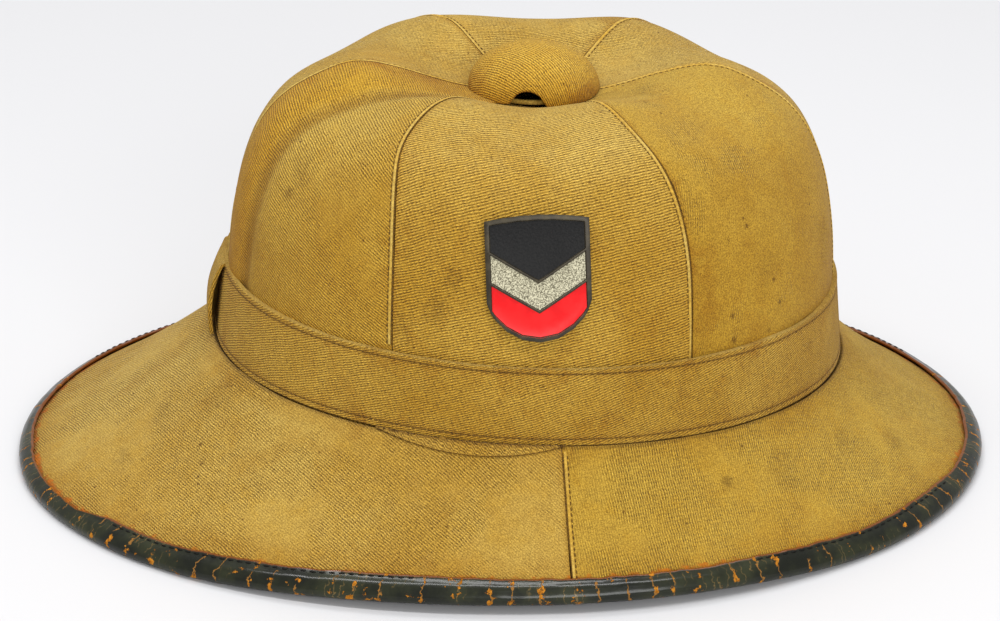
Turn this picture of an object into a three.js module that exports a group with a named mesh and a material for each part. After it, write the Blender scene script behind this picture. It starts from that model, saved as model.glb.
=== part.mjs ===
// Sun helmet: six sewn crown panels, a sloping brim in two halves, a leather edge, a cloth band,
// a vented cap on top and a small shield. Millimetres, +Z up, front towards +X, floor at z = 0.
import * as THREE from 'three';

const { lerp, smoothstep, clamp, degToRad } = THREE.MathUtils;

// Clearance between neighbouring pieces, and the stiff wall of crown and brim
const GAP = 0.3;
const WALL = 3;

// Crown: where its axis stands, how square its oval is, how much it narrows to the front
const AXIS_X = 13.4;
const OVAL = 2.02;
const EGG = -0.02;
// The foot and the crest of the crown dip to the front by this much for each millimetre
const TILT = 0.042;
const CREST_TILT = 0.024;
// Height of the ridge that each seam makes, and how far the top leans from the axis of the foot
const RIDGE = 2.8;
const LEAN = -2;

// One row per level of the crown: height, reach to the front and rear, half width
const CROWN_ROWS = [
  { z: 41.2, front: 107.4, rear: 114.6, half: 92.6 },
  { z: 56.4, front: 105.7, rear: 112.2, half: 92.8 },
  { z: 71.3, front: 104.4, rear: 109.8, half: 92.5 },
  { z: 81.5, front: 104.4, rear: 108.6, half: 91.6 },
  { z: 94.5, front: 103.0, rear: 106.4, half: 89.4 },
  { z: 108.0, front: 100.6, rear: 102.8, half: 86.6 },
  { z: 120.6, front: 96.2, rear: 96.9, half: 82.8 },
  { z: 129.4, front: 89.6, rear: 89.8, half: 78.8 },
  { z: 134.6, front: 82.8, rear: 82.8, half: 74.2 },
  { z: 138.2, front: 76.0, rear: 76.0, half: 67.8 },
  { z: 141.2, front: 69.8, rear: 69.8, half: 59.4 },
  { z: 143.8, front: 63.2, rear: 63.2, half: 50.3 },
  { z: 144.2, front: 55.5, rear: 55.5, half: 42.3 },
  { z: 142.0, front: 46.0, rear: 46.0, half: 35.7 },
  { z: 138.8, front: 35.0, rear: 35.0, half: 29.4 },
  { z: 136.2, front: 25.6, rear: 25.6, half: 24.3 },
  { z: 134.8, front: 17.0, rear: 17.0, half: 17.0 },
];
const BAND_ROW = 2;

// Seams between the panels: angle from the front at the foot, the waist and the crest, in degrees
const SEAMS = [
  { foot: -4.5, waist: -4.5, crest: -2.5, next: 'front_left' },
  { foot: 54, waist: 54, crest: 52, next: 'left' },
  { foot: 123, waist: 123, crest: 126, next: 'rear_left' },
  { foot: 183.5, waist: 183.5, crest: 182.5, next: 'rear_right' },
  { foot: 237.2, waist: 236.8, crest: 231.2, next: 'right' },
  { foot: 299.8, waist: 301.6, crest: 297.2, next: 'front_right' },
  { foot: 355.5, waist: 355.5, crest: 357.5, next: null },
];
const PANEL_COLUMNS = 12;

// Brim: reach to the front and rear, half width, height of its edge, lift at the sides
const BRIM = {
  front: 157.6,
  rear: 184.4,
  half: 128.9,
  edge: 2.93,
  lift: 3,
  sag: 2.5,
  egg: -0.03,
  square: 2.06,
};
const BRIM_FOOT = 42.6;
const BRIM_COLUMNS = 32;
const BRIM_ROWS = 7;
const BRIM_SEAM = 88;

// Leather edge: thickness and how far it reaches in from the edge
const BINDING = { leather: 1.33, reach: 7.2, columns: 64 };

// Band round the crown, and its keeper and underlap
const BAND = { cloth: 1.8, clear: 1.6, columns: 64 };
const KEEPER = { half: 13, cloth: 1.5, top: 0.6 };
const UNDERLAP = { from: 234.5, to: 272.5, tip: 0.3, width: 5, cloth: 1 };

// Vent cap on top: radius, rise, wall and its air notch
const CAP = { radius: 22.9, rise: 16.4, wall: 2, columns: 32, rows: 5 };
const NOTCH = { angle: 262.4, half: 15, rise: 5.2 };

// Shield: width, length, bow of its top edge, straight side, raised frame, plate and relief
const SHIELD = {
  width: 34,
  length: 39.8,
  bow: 1.6,
  side: 26.4,
  frame: 1.7,
  plate: 1,
  relief: 0.6,
  turn: 1.6,
  x: -4.2,
  z: 100,
};

// Material looks
const cloth = () => new THREE.MeshStandardMaterial({ color: 0xbe964b, roughness: 0.9, metalness: 0 });
const leather = () => new THREE.MeshStandardMaterial({ color: 0x3a4036, roughness: 0.45, metalness: 0 });
const enamel = () => new THREE.MeshStandardMaterial({ color: 0x6b1a16, roughness: 0.4, metalness: 0.4 });

const helmet = new THREE.Group();

function piece(name, geometry, material) {
  const mesh = new THREE.Mesh(geometry, material);
  mesh.name = name;
  helmet.add(mesh);
}

function solidFrom(points, triangles) {
  const geometry = new THREE.BufferGeometry();
  geometry.setFromPoints(points);
  geometry.setIndex(triangles);
  geometry.computeVertexNormals();
  return geometry;
}

// Closed wall between two grids of points, both as functions of column and row numbers
function wall(columns, rows, outer, inner) {
  const points = [];
  const triangles = [];
  const stride = rows + 1;
  const side = (columns + 1) * stride;
  for (const face of [outer, inner]) {
    for (let i = 0; i <= columns; i += 1) {
      for (let j = 0; j <= rows; j += 1) points.push(face(i, j));
    }
  }
  const quad = (a, b, c, d) => triangles.push(a, b, c, a, c, d);
  const at = (i, j) => i * stride + j;
  for (let i = 0; i < columns; i += 1) {
    for (let j = 0; j < rows; j += 1) {
      const [a, b, c, d] = [at(i, j), at(i + 1, j), at(i + 1, j + 1), at(i, j + 1)];
      quad(a, b, c, d);
      quad(side + d, side + c, side + b, side + a);
    }
    quad(side + at(i, 0), side + at(i + 1, 0), at(i + 1, 0), at(i, 0));
    quad(at(i, rows), at(i + 1, rows), side + at(i + 1, rows), side + at(i, rows));
  }
  for (let j = 0; j < rows; j += 1) {
    quad(at(0, j), at(0, j + 1), side + at(0, j + 1), side + at(0, j));
    quad(at(columns, j + 1), at(columns, j), side + at(columns, j), side + at(columns, j + 1));
  }
  return solidFrom(points, triangles);
}

// Closed ring of sections; each section is a loop of points
function ring(columns, section) {
  const points = [];
  const triangles = [];
  let count = 0;
  for (let i = 0; i < columns; i += 1) {
    const loop = section((i / columns) * 2 * Math.PI);
    count = loop.length;
    points.push(...loop);
  }
  for (let i = 0; i < columns; i += 1) {
    const here = i * count;
    const there = ((i + 1) % columns) * count;
    for (let j = 0; j < count; j += 1) {
      const k = (j + 1) % count;
      triangles.push(here + j, there + j, there + k, here + j, there + k, here + k);
    }
  }
  return solidFrom(points, triangles);
}

// Closed bowl of sections; each section runs from one pole to the other
function bowl(columns, section) {
  const points = [];
  const triangles = [];
  let count = 0;
  for (let i = 0; i < columns; i += 1) {
    const line = section((i / columns) * 2 * Math.PI);
    count = line.length - 2;
    if (i === 0) points.push(line[0], line[line.length - 1]);
    points.push(...line.slice(1, -1));
  }
  for (let i = 0; i < columns; i += 1) {
    const here = 2 + i * count;
    const there = 2 + ((i + 1) % columns) * count;
    triangles.push(0, there, here);
    for (let j = 0; j < count - 1; j += 1) {
      triangles.push(here + j, there + j, there + j + 1, here + j, there + j + 1, here + j + 1);
    }
    triangles.push(here + count - 1, there + count - 1, 1);
  }
  return solidFrom(points, triangles);
}

// Crown surface
const level = (key) => {
  const points = CROWN_ROWS.map((row) => new THREE.Vector3(row[key], row.half, row.z));
  return new THREE.CatmullRomCurve3(points, false, 'centripetal');
};
const frontCurve = level('front');
const rearCurve = level('rear');
const CREST_Z = Math.max(...CROWN_ROWS.map((row) => row.z));
const LAST = CROWN_ROWS.length - 1;

function oval(front, rear, b, angle) {
  const c = Math.cos(angle);
  const s = Math.sin(angle);
  const a = c > 0 ? front : rear;
  const r = 1 / Math.pow(Math.pow(Math.abs(c) / a, OVAL) + Math.pow(Math.abs(s) / b, OVAL), 1 / OVAL);
  return new THREE.Vector2(r * c, r * s * (1 + EGG * c));
}

function seamAngle(seam, row) {
  const waist = lerp(seam.foot, seam.waist, smoothstep(row, 2, 5.5));
  return degToRad(lerp(waist, seam.crest, smoothstep(row, 4, 11)));
}

// How far an angle lies from the nearest seam: 1 on it, -1 in the middle of a panel
function seamPhase(angle, row) {
  const first = seamAngle(SEAMS[0], row);
  const turn = first + ((((angle - first) % (2 * Math.PI)) + 2 * Math.PI) % (2 * Math.PI));
  for (let i = 0; i < SEAMS.length - 1; i += 1) {
    const from = seamAngle(SEAMS[i], row);
    const to = seamAngle(SEAMS[i + 1], row);
    const share = (turn - from) / (to - from);
    if (share > -1e-9 && share < 1 + 1e-9) return Math.cos(2 * Math.PI * share);
  }
  return 1;
}

function crown(angle, row) {
  const t = clamp(row / LAST, 0, 1);
  const ahead = frontCurve.getPoint(t);
  const behind = rearCurve.getPoint(t);
  const height = (ahead.z + behind.z) / 2;
  const lift = RIDGE * smoothstep(row, 2, 9) * (1 - 0.9 * smoothstep(row, 12, 15));
  const bump = (lift * seamPhase(angle, row)) / 2;
  const flat = oval(ahead.x, behind.x, (ahead.y + behind.y) / 2, angle);
  const grow = 1 + bump / flat.length();
  const lean = LEAN * smoothstep(row, 2, 9);
  const dip = flat.x * lerp(TILT, CREST_TILT, smoothstep(height, CROWN_ROWS[BAND_ROW].z, CREST_Z));
  return new THREE.Vector3(AXIS_X + lean + flat.x * grow, flat.y * grow, height + bump - dip);
}

// Point of a surface moved along its outward normal
function offset(surface, u, v, distance, du, dv) {
  const here = surface(u, v);
  const across = surface(u + du, v).sub(surface(u - du, v));
  const up = surface(u, v + dv).sub(surface(u, v - dv));
  return here.addScaledVector(across.cross(up).normalize(), distance);
}

function onCrown(angle, row, distance) {
  const v = clamp(row, 0.01, LAST - 0.01);
  const base = offset(crown, angle, v, distance, 0.004, 0.01);
  return base.add(crown(angle, row)).sub(crown(angle, v));
}

// Row of the crown at a height, or at a distance from its axis near the top
function rowWhere(test, low, high) {
  let [a, b] = [low, high];
  for (let i = 0; i < 40; i += 1) {
    const m = (a + b) / 2;
    if (test(m)) a = m;
    else b = m;
  }
  return a;
}

// Six panels
for (let k = 0; k < SEAMS.length - 1; k += 1) {
  const angleAt = (i, row) => {
    const rim = crown(seamAngle(SEAMS[k], row), row);
    const trim = GAP / 2 / Math.hypot(rim.x - AXIS_X - LEAN, rim.y);
    return lerp(seamAngle(SEAMS[k], row) + trim, seamAngle(SEAMS[k + 1], row) - trim, i / PANEL_COLUMNS);
  };
  const panel = wall(
    PANEL_COLUMNS,
    LAST,
    (i, j) => crown(angleAt(i, j), j),
    (i, j) => onCrown(angleAt(i, j), j, -WALL),
  );
  piece(`crown_panel_${SEAMS[k].next}`, panel, cloth());
}

// Middle surface of the brim: u runs from the crown to the edge
function brimEdge(angle) {
  const c = Math.cos(angle);
  const s = Math.sin(angle);
  const power = c > 0 ? 1 : 2 / BRIM.square;
  const along = c > 0 ? BRIM.front * c : -BRIM.rear * Math.pow(-c, power);
  const across = BRIM.half * Math.sign(s) * Math.pow(Math.abs(s), power) * (1 + BRIM.egg * c);
  const z = BRIM.edge + BRIM.lift * smoothstep(Math.abs(s), 0.72, 1);
  return new THREE.Vector3(AXIS_X + along, across, z);
}

function brim(angle, u) {
  const edge = brimEdge(angle);
  const foot = onCrown(angle, 0, GAP + 1.1);
  foot.z = BRIM_FOOT - TILT * (foot.x - AXIS_X);
  const point = foot.lerp(edge, u);
  point.z -= 4 * BRIM.sag * u * (1 - u);
  return point;
}

const onBrim = (angle, u, distance) => offset(brim, angle, u, -distance, 0.004, 0.01);

for (const [name, start, end] of [
  ['brim_front', -BRIM_SEAM, BRIM_SEAM],
  ['brim_rear', BRIM_SEAM, 360 - BRIM_SEAM],
]) {
  const trim = GAP / 2 / BRIM.half;
  const angleAt = (i) => {
    const t = i / BRIM_COLUMNS;
    return lerp(degToRad(start) + trim, degToRad(end) - trim, t);
  };
  const half = wall(
    BRIM_COLUMNS,
    BRIM_ROWS,
    (i, j) => onBrim(angleAt(i), 1 - j / BRIM_ROWS, WALL / 2),
    (i, j) => onBrim(angleAt(i), 1 - j / BRIM_ROWS, -WALL / 2),
  );
  piece(name, half, cloth());
}

// Leather folded over the edge: top strip, round edge, bottom strip, then back along the inside
function bindingSection(angle) {
  const inside = WALL / 2 + GAP;
  const outside = inside + BINDING.leather;
  const edge = brim(angle, 1);
  const length = edge.distanceTo(brim(angle, 0));
  const back = 1 - BINDING.reach / length;
  const up = onBrim(angle, 1, 1).sub(edge);
  const flat = new THREE.Vector3(up.x, up.y, 0);
  const slope = Math.atan2(flat.length(), up.z);
  const away = flat.normalize();
  const round = (turn, radius) => {
    const point = edge.clone().addScaledVector(away, radius * Math.cos(turn));
    point.z = Math.max(point.z + radius * Math.sin(turn), 0);
    return point;
  };
  const top = Math.PI / 2 - slope;
  const under = -Math.PI / 2 - slope;
  const flatFrom = degToRad(-70);
  const flatTo = degToRad(-110);
  const turns = [0, 0.33, 0.67].map((t) => lerp(top, flatFrom, t));
  turns.push(flatFrom, flatTo, under);
  const outer = turns.map((turn) => round(turn, outside));
  const inner = [under, (top + under) / 2, top].map((turn) => round(turn, inside));
  return [
    onBrim(angle, back, outside),
    ...outer,
    onBrim(angle, back, -outside),
    onBrim(angle, back, -inside),
    ...inner,
    onBrim(angle, back, inside),
  ].reverse();
}
piece('brim_binding', ring(BINDING.columns, bindingSection), leather());

// Band round the foot of the crown
const bandFoot = (angle) => {
  const low = onBrim(angle, 0.03, WALL / 2).z + BAND.clear;
  return rowWhere((row) => crown(angle, row).z < low, 0, BAND_ROW);
};
function bandSection(angle) {
  const foot = bandFoot(angle);
  const rows = [0, 0.33, 0.67, 1].map((t) => lerp(foot, BAND_ROW, t));
  const outer = rows.map((row) => onCrown(angle, row, GAP + BAND.cloth));
  const inner = rows.map((row) => onCrown(angle, row, GAP)).reverse();
  return [...outer, ...inner];
}
piece('hat_band', ring(BAND.columns, bandSection), cloth());

// Keeper at the back: bowed out over the band and turned in over its top edge
const keeperBow = new THREE.SplineCurve([
  new THREE.Vector2(0, 2.6),
  new THREE.Vector2(0.2, 3.9),
  new THREE.Vector2(0.42, 4.6),
  new THREE.Vector2(0.64, 4.4),
  new THREE.Vector2(0.86, 3.6),
  new THREE.Vector2(1.01, 2.7),
  new THREE.Vector2(1.1, 0.5),
]);
const keeperAngle = (i) => Math.PI + ((0.5 - i / 6) * 2 * KEEPER.half) / CROWN_ROWS[0].rear;
function keeperPoint(i, j, distance) {
  const angle = keeperAngle(i);
  const bow = keeperBow.getPoint(j / 9);
  const topZ = crown(angle, BAND_ROW).z + KEEPER.top;
  const top = rowWhere((row) => crown(angle, row).z < topZ, 0, 6);
  return onCrown(angle, lerp(bandFoot(angle), top, bow.x), bow.y + distance);
}
piece(
  'band_keeper',
  wall(6, 9, (i, j) => keeperPoint(6 - i, j, KEEPER.cloth), (i, j) => keeperPoint(6 - i, j, 0)),
  cloth(),
);

// Crescent of cloth under the band on the near side
function underlapPoint(i, j, distance) {
  const t = i / 20;
  const angle = degToRad(lerp(UNDERLAP.from, UNDERLAP.to, t));
  const length = brim(angle, 0).distanceTo(brim(angle, 1));
  const shown = UNDERLAP.tip + UNDERLAP.width * Math.pow(Math.sin(Math.PI * t), 0.9);
  return onBrim(angle, lerp(shown, 0, j / 2) / length, WALL / 2 + distance);
}
piece(
  'band_underlap',
  wall(20, 2, (i, j) => underlapPoint(i, j, GAP + UNDERLAP.cloth), (i, j) => underlapPoint(i, j, GAP)),
  cloth(),
);

// Vent cap: a shallow dome on the crown, with one arched notch in its rim
const capX = AXIS_X + LEAN;
function capSection(angle) {
  const seat = (radius) => {
    const near = (row) => {
      const p = crown(angle, row);
      return Math.hypot(p.x - capX, p.y) > radius;
    };
    return crown(angle, rowWhere(near, 12, LAST)).z;
  };
  const off = Math.abs(((angle * 180) / Math.PI - NOTCH.angle + 540) % 360 - 180) / NOTCH.half;
  const arch = off < 1 ? NOTCH.rise * Math.sqrt(1 - off * off) : 0;
  const rim = Math.max(seat(CAP.radius), seat(CAP.radius - CAP.wall)) + GAP;
  const dome = (radius, rise, t) => {
    const start = Math.asin(clamp(arch / rise, 0, 0.9));
    const turn = lerp(start, Math.PI / 2, t);
    const r = radius * Math.cos(turn);
    const low = lerp(rim, CAP.top, Math.sin(turn));
    const z = low - (CAP.rise - rise) * Math.sin(turn);
    return new THREE.Vector3(capX + r * Math.cos(angle), r * Math.sin(angle), z);
  };
  const inside = [];
  const outside = [];
  for (let j = 0; j <= CAP.rows; j += 1) {
    inside.unshift(dome(CAP.radius - CAP.wall, CAP.rise - CAP.wall, j / CAP.rows));
    outside.push(dome(CAP.radius, CAP.rise, j / CAP.rows));
  }
  return [...inside, ...outside];
}
CAP.top = crown(0, 15.4).z + CAP.rise;
piece('vent_cap', bowl(CAP.columns, capSection), cloth());

// Shield on the near panel: frame, a V of two ribs and three sunk fields, bent to the crown
const edgeStep = 0.25;
const halfW = SHIELD.width / 2;
const shieldColumns = [-halfW, -halfW + SHIELD.frame - edgeStep, -halfW + SHIELD.frame];
for (let i = -3; i < 4; i += 1) {
  shieldColumns.push((halfW - SHIELD.frame) * Math.sin((i / 8) * Math.PI));
}
shieldColumns.push(halfW - SHIELD.frame, halfW - SHIELD.frame + edgeStep, halfW);
const shieldFoot = (x) => {
  const t = clamp(Math.abs(x) / halfW, 0, 1);
  const round = 1 - Math.sqrt(1 - t * t);
  return -SHIELD.length / 2 + (SHIELD.length - SHIELD.side) * lerp(round, Math.pow(t, 2.2), 0.5);
};
const shieldTop = (x) => SHIELD.length / 2 + SHIELD.bow * (1 - Math.pow(Math.abs(x) / halfW, 2));
const rib = (x, height) => height + 0.62 * Math.abs(x);
const shieldLines = [
  { y: (x) => shieldFoot(x), up: true },
  { y: (x) => shieldFoot(x) + SHIELD.frame - edgeStep, up: true },
  { y: (x) => shieldFoot(x) + SHIELD.frame, up: false },
  { y: (x) => rib(x, -10.3), up: false },
  { y: (x) => rib(x, -10.05), up: true },
  { y: (x) => rib(x, -9.35), up: true },
  { y: (x) => rib(x, -9.1), up: false },
  { y: (x) => rib(x, -0.3), up: false },
  { y: (x) => rib(x, -0.05), up: true },
  { y: (x) => rib(x, 0.65), up: true },
  { y: (x) => rib(x, 0.9), up: false },
  { y: (x) => shieldTop(x) - SHIELD.frame, up: false },
  { y: (x) => shieldTop(x) - SHIELD.frame + edgeStep, up: true },
  { y: (x) => shieldTop(x), up: true },
];
function shieldPoint(x, y, distance) {
  const turn = degToRad(SHIELD.turn);
  const px = SHIELD.x + AXIS_X + x * Math.cos(turn) - y * Math.sin(turn);
  const pz = SHIELD.z + 0.98 * (x * Math.sin(turn) + y * Math.cos(turn));
  let angle = -Math.PI / 2;
  let row = 5;
  for (let i = 0; i < 12; i += 1) {
    row = rowWhere((r) => crown(angle, r).z < pz, 1, 8);
    const p = crown(angle, row);
    angle += (px - p.x) / Math.hypot(p.x - AXIS_X, p.y);
  }
  return onCrown(angle, row, distance);
}
const lastColumn = shieldColumns.length - 1;
const sunk = (i, j) => i > 1 && i < lastColumn - 1 && !shieldLines[j].up;
piece(
  'badge_shield',
  wall(
    lastColumn,
    shieldLines.length - 1,
    (i, j) => {
      const high = GAP + SHIELD.plate + (sunk(i, j) ? 0 : SHIELD.relief);
      return shieldPoint(shieldColumns[i], shieldLines[j].y(shieldColumns[i]), high);
    },
    (i, j) => shieldPoint(shieldColumns[i], shieldLines[j].y(shieldColumns[i]), GAP),
  ),
  enamel(),
);

export default helmet;
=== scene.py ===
# %% [markdown]
# # A sun helmet in sewn cloth and leather
#
# The real helmet is a stiff shell under cloth: six crown panels, a brim in two halves, a band, a small
# vented cap and a leather edge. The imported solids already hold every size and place, so nothing is
# measured again here: they are loaded first, and each visible piece is worked up from them.

# %% Load the frame
import math

import bpy
import numpy as np
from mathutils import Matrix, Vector, kdtree, noise


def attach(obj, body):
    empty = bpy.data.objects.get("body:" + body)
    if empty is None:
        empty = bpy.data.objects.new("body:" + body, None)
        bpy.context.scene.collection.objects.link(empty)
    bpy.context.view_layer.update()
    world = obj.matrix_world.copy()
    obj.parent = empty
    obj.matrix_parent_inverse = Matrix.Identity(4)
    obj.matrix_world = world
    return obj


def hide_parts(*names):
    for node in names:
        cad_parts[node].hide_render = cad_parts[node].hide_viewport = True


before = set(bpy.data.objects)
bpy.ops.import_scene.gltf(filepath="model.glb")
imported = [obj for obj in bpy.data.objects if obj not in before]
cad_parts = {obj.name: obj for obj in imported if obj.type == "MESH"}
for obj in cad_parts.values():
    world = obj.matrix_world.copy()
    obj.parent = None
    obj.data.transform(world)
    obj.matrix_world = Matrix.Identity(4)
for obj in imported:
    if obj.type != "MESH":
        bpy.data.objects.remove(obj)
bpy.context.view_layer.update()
bpy.ops.object.select_all(action="DESELECT")
print("solids:", len(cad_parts))

# %% [markdown]
# ## The bench
#
# Blender's operators act on whatever is selected, so the first helper picks one piece and lets go of
# all others. A solid arrives as loose triangles; its copy is merged and its triangles are paired into
# squares again, because squares subdivide into a smooth cloth surface and triangles don't.

# %% Bench helpers
MM = 0.001
AXIS = Vector((13.4 * MM, 0, 0))
CORE = AXIS + Vector((0, 0, 60 * MM))


def alone(piece):
    """Select one piece and nothing else."""
    bpy.ops.object.select_all(action="DESELECT")
    piece.select_set(True)
    bpy.context.view_layer.objects.active = piece


def pick(piece, kind, test):
    """Select the points, edges or faces of a piece that pass a test, and stay in edit mode."""
    alone(piece)
    bpy.ops.object.mode_set(mode="EDIT")
    bpy.ops.mesh.select_mode(type=kind)
    bpy.ops.mesh.select_all(action="DESELECT")
    bpy.ops.object.mode_set(mode="OBJECT")
    mesh = piece.data
    for part in {"VERT": mesh.vertices, "EDGE": mesh.edges, "FACE": mesh.polygons}[kind]:
        part.select = bool(test(part))
    bpy.ops.object.mode_set(mode="EDIT")


def copy_of(node, name):
    """A copy of a solid, merged and turned into squares."""
    alone(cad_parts[node])
    bpy.ops.object.duplicate()
    piece = bpy.context.object
    piece.name = piece.data.name = name
    for key in list(piece.keys()):
        del piece[key]
    piece.parent = None
    piece.data.materials.clear()
    bpy.ops.mesh.customdata_custom_splitnormals_clear()
    bpy.ops.object.mode_set(mode="EDIT")
    bpy.ops.mesh.select_all(action="SELECT")
    bpy.ops.mesh.remove_doubles(threshold=1e-6)
    bpy.ops.mesh.tris_convert_to_quads(
        face_threshold=math.radians(40), shape_threshold=math.pi, topology_influence=2
    )
    bpy.ops.object.mode_set(mode="OBJECT")
    return piece


def work(piece, kind, **settings):
    """Add a modifier, set it and apply it."""
    alone(piece)
    modifier = piece.modifiers.new(kind.title(), kind)
    for key, value in settings.items():
        setattr(modifier, key, value)
    bpy.ops.object.modifier_apply(modifier=modifier.name)


def settle(piece, slot, finishes, *nodes):
    """Give a finished piece its materials and its body, and hide the solids it stands for; the slot is not
    used.
    """
    for finish in finishes:
        piece.data.materials.append(finish.material)
    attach(piece, "root")
    if nodes:
        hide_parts(*nodes)
    print(piece.name, "faces:", len(piece.data.polygons))


# %% [markdown]
# ## Camera, floor and light
#
# The camera stands a little over a metre away, to the wearer's right, and looks down at the helmet by
# about 24 degrees through a long lens. The floor is one pale sheet. A soft box overhead makes the long
# glints on the leather, a second one fills the near side, a third one lights the far floor and the top of
# the crown, and a pale surround keeps the shadows light.

# %% Camera
AIM = Vector((-0.35 * MM, 0, 50.5 * MM))
TURN, TILT, AWAY = math.radians(-2.0), math.radians(24.17), 1.0925
back = Vector((math.sin(TURN) * math.cos(TILT), -math.cos(TURN) * math.cos(TILT), math.sin(TILT)))
bpy.ops.object.camera_add(location=AIM + back * AWAY, rotation=back.to_track_quat("Z", "Y").to_euler())
camera = bpy.context.object
camera.data.sensor_width = 36
camera.data.lens = 109.476
bpy.context.scene.camera = camera
bpy.context.scene.view_settings.view_transform = "Standard"
print("camera at", [round(x, 3) for x in camera.location])

# %% Floor and lights
bpy.ops.mesh.primitive_plane_add(size=12)
floor = bpy.context.object
floor.name = "floor"


def soft_box(name, place, aim, width, depth, power):
    """A wide area light, turned to face a point."""
    turn = (Vector(place) - Vector(aim)).to_track_quat("Z", "Y").to_euler()
    bpy.ops.object.light_add(type="AREA", location=place, rotation=turn)
    light = bpy.context.object
    light.name = name
    light.data.shape = "RECTANGLE"
    light.data.size = width
    light.data.size_y = depth
    light.data.energy = power


soft_box("overhead_box", (-0.1, -0.4, 1.4), (0, 0, 0.05), 1.5, 0.14, 11)
soft_box("front_box", (0.45, -1.9, 0.85), (0, 0, 0.05), 1.0, 0.7, 17.5)
soft_box("rear_box", (0.0, 0.6, 1.7), (0, 0.2, 0.1), 1.6, 0.6, 10)
world = bpy.data.worlds.new("surround")
world.use_nodes = True
world.node_tree.nodes["Background"].inputs["Color"].default_value = (1, 1, 1, 1)
world.node_tree.nodes["Background"].inputs["Strength"].default_value = 0.64
bpy.context.scene.world = world

# %% [markdown]
# ## Writing materials as sums
#
# A material is a net of small nodes, and most of them only add or multiply. So one class wraps a node's
# output: adding or multiplying two of them adds the Math node. A second class holds one material, and
# its `node` method makes any other node from its type, its settings and what goes into its sockets.


# %% Material helpers
class Wire:
    """One output of a node. Sums and products of wires add Math nodes."""

    def __init__(self, finish, socket):
        self.finish = finish
        self.socket = socket

    def out(self, name):
        return Wire(self.finish, self.socket.node.outputs[name])

    def math(self, operation, first, second=0.0):
        return self.finish.node("ShaderNodeMath", {"operation": operation}, {0: first, 1: second})

    def __add__(self, other):
        return self.math("ADD", self, other)

    def __radd__(self, other):
        return self.math("ADD", other, self)

    def __sub__(self, other):
        return self.math("SUBTRACT", self, other)

    def __rsub__(self, other):
        return self.math("SUBTRACT", other, self)

    def __mul__(self, other):
        return self.math("MULTIPLY", self, other)

    def __rmul__(self, other):
        return self.math("MULTIPLY", other, self)

    def __abs__(self):
        return self.math("ABSOLUTE", self)

    def sine(self):
        return self.math("SINE", self)

    def most(self, other):
        return self.math("MAXIMUM", self, other)


class Finish:
    """One material: a shader with constants, and a net of nodes for what changes over the surface."""

    def __init__(self, name, constants):
        self.material = bpy.data.materials.new(name)
        self.material.use_nodes = True
        self.nodes = self.material.node_tree.nodes
        self.links = self.material.node_tree.links
        self.shader = self.nodes["Principled BSDF"]
        for socket, value in constants.items():
            self.shader.inputs[socket].default_value = value

    def node(self, kind, settings=None, sockets=None, out=0):
        made = self.nodes.new(kind)
        for name, value in (settings or {}).items():
            setattr(made, name, value)
        for key, value in (sockets or {}).items():
            self.join(made.inputs[key], value)
        return Wire(self, made.outputs[out])

    def join(self, socket, value):
        if isinstance(value, Wire):
            self.links.new(value.socket, socket)
        else:
            socket.default_value = value

    def feed(self, name, value):
        self.join(self.shader.inputs[name], value)

    def place(self):
        return self.node("ShaderNodeTexCoord", out="Object")

    def mark(self, name):
        return self.node("ShaderNodeAttribute", {"attribute_name": name}, out="Fac")

    def grain(self, where, scale, detail=3.0, rough=0.55, warp=0.0):
        values = {"Vector": where, "Scale": scale, "Detail": detail, "Roughness": rough, "Distortion": warp}
        return self.node("ShaderNodeTexNoise", None, values)

    def ease(self, value, low, high, start=0.0, end=1.0):
        values = {0: value, 1: low, 2: high, 3: start, 4: end}
        return self.node("ShaderNodeMapRange", {"interpolation_type": "SMOOTHSTEP"}, values)

    def blend(self, amount, first, second):
        return self.node("ShaderNodeMix", {"data_type": "RGBA"}, {0: amount, 6: first, 7: second}, out=2)

    def soil(self, amount, colour, tint):
        settings = {"data_type": "RGBA", "blend_type": "MULTIPLY"}
        return self.node("ShaderNodeMix", settings, {0: amount, 6: colour, 7: tint}, out=2)

    def relief(self, height, depth):
        return self.node("ShaderNodeBump", None, {"Height": height, "Distance": depth, "Strength": 1.0})


def paint(red, green, blue):
    """A colour as a paint chart gives it, 0 to 255, made linear for the shader."""
    chart = [x / 255 for x in (red, green, blue)]
    return tuple(((x + 0.055) / 1.055) ** 2.4 if x > 0.04 else x / 12.92 for x in chart) + (1.0,)


studio = Finish("studio_floor", {"Base Color": paint(214, 214, 216), "Roughness": 0.7})
floor.data.materials.append(studio.material)

# %% [markdown]
# ## Twill cloth
#
# The cover is a cotton twill, ochre and well worn. Its fine ribs run at a different slant on each panel,
# as each was cut at its own angle. A picture of cloth would need an image, so the ribs are a sine of the
# place on the piece's own flat pattern, bent a little by noise, and their valleys are darkened as painted
# shade. Over them lie fading and dust on what faces up, with painted light from above, brown stains,
# felted patches where the ribs are rubbed away, dark specks, and dirt with painted shade along the
# sewing. Marks that only one piece has, such as a smudge, are added as `touches`.

# %% Cloth finish
RIB = 0.95 * MM
SUNNED = paint(243, 210, 112)
OCHRE = paint(238, 193, 78)
SHADED = paint(220, 171, 54)
BROWN_STAIN_AND_SHADE = (0.78, 0.66, 0.42, 1)
RIB_SHADE = (0.22, 0.165, 0.08, 1)
GREY_DIRT = (0.60, 0.57, 0.56, 1)
DARK_SPECK_AND_SHADE = (0.30, 0.22, 0.16, 1)


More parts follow.
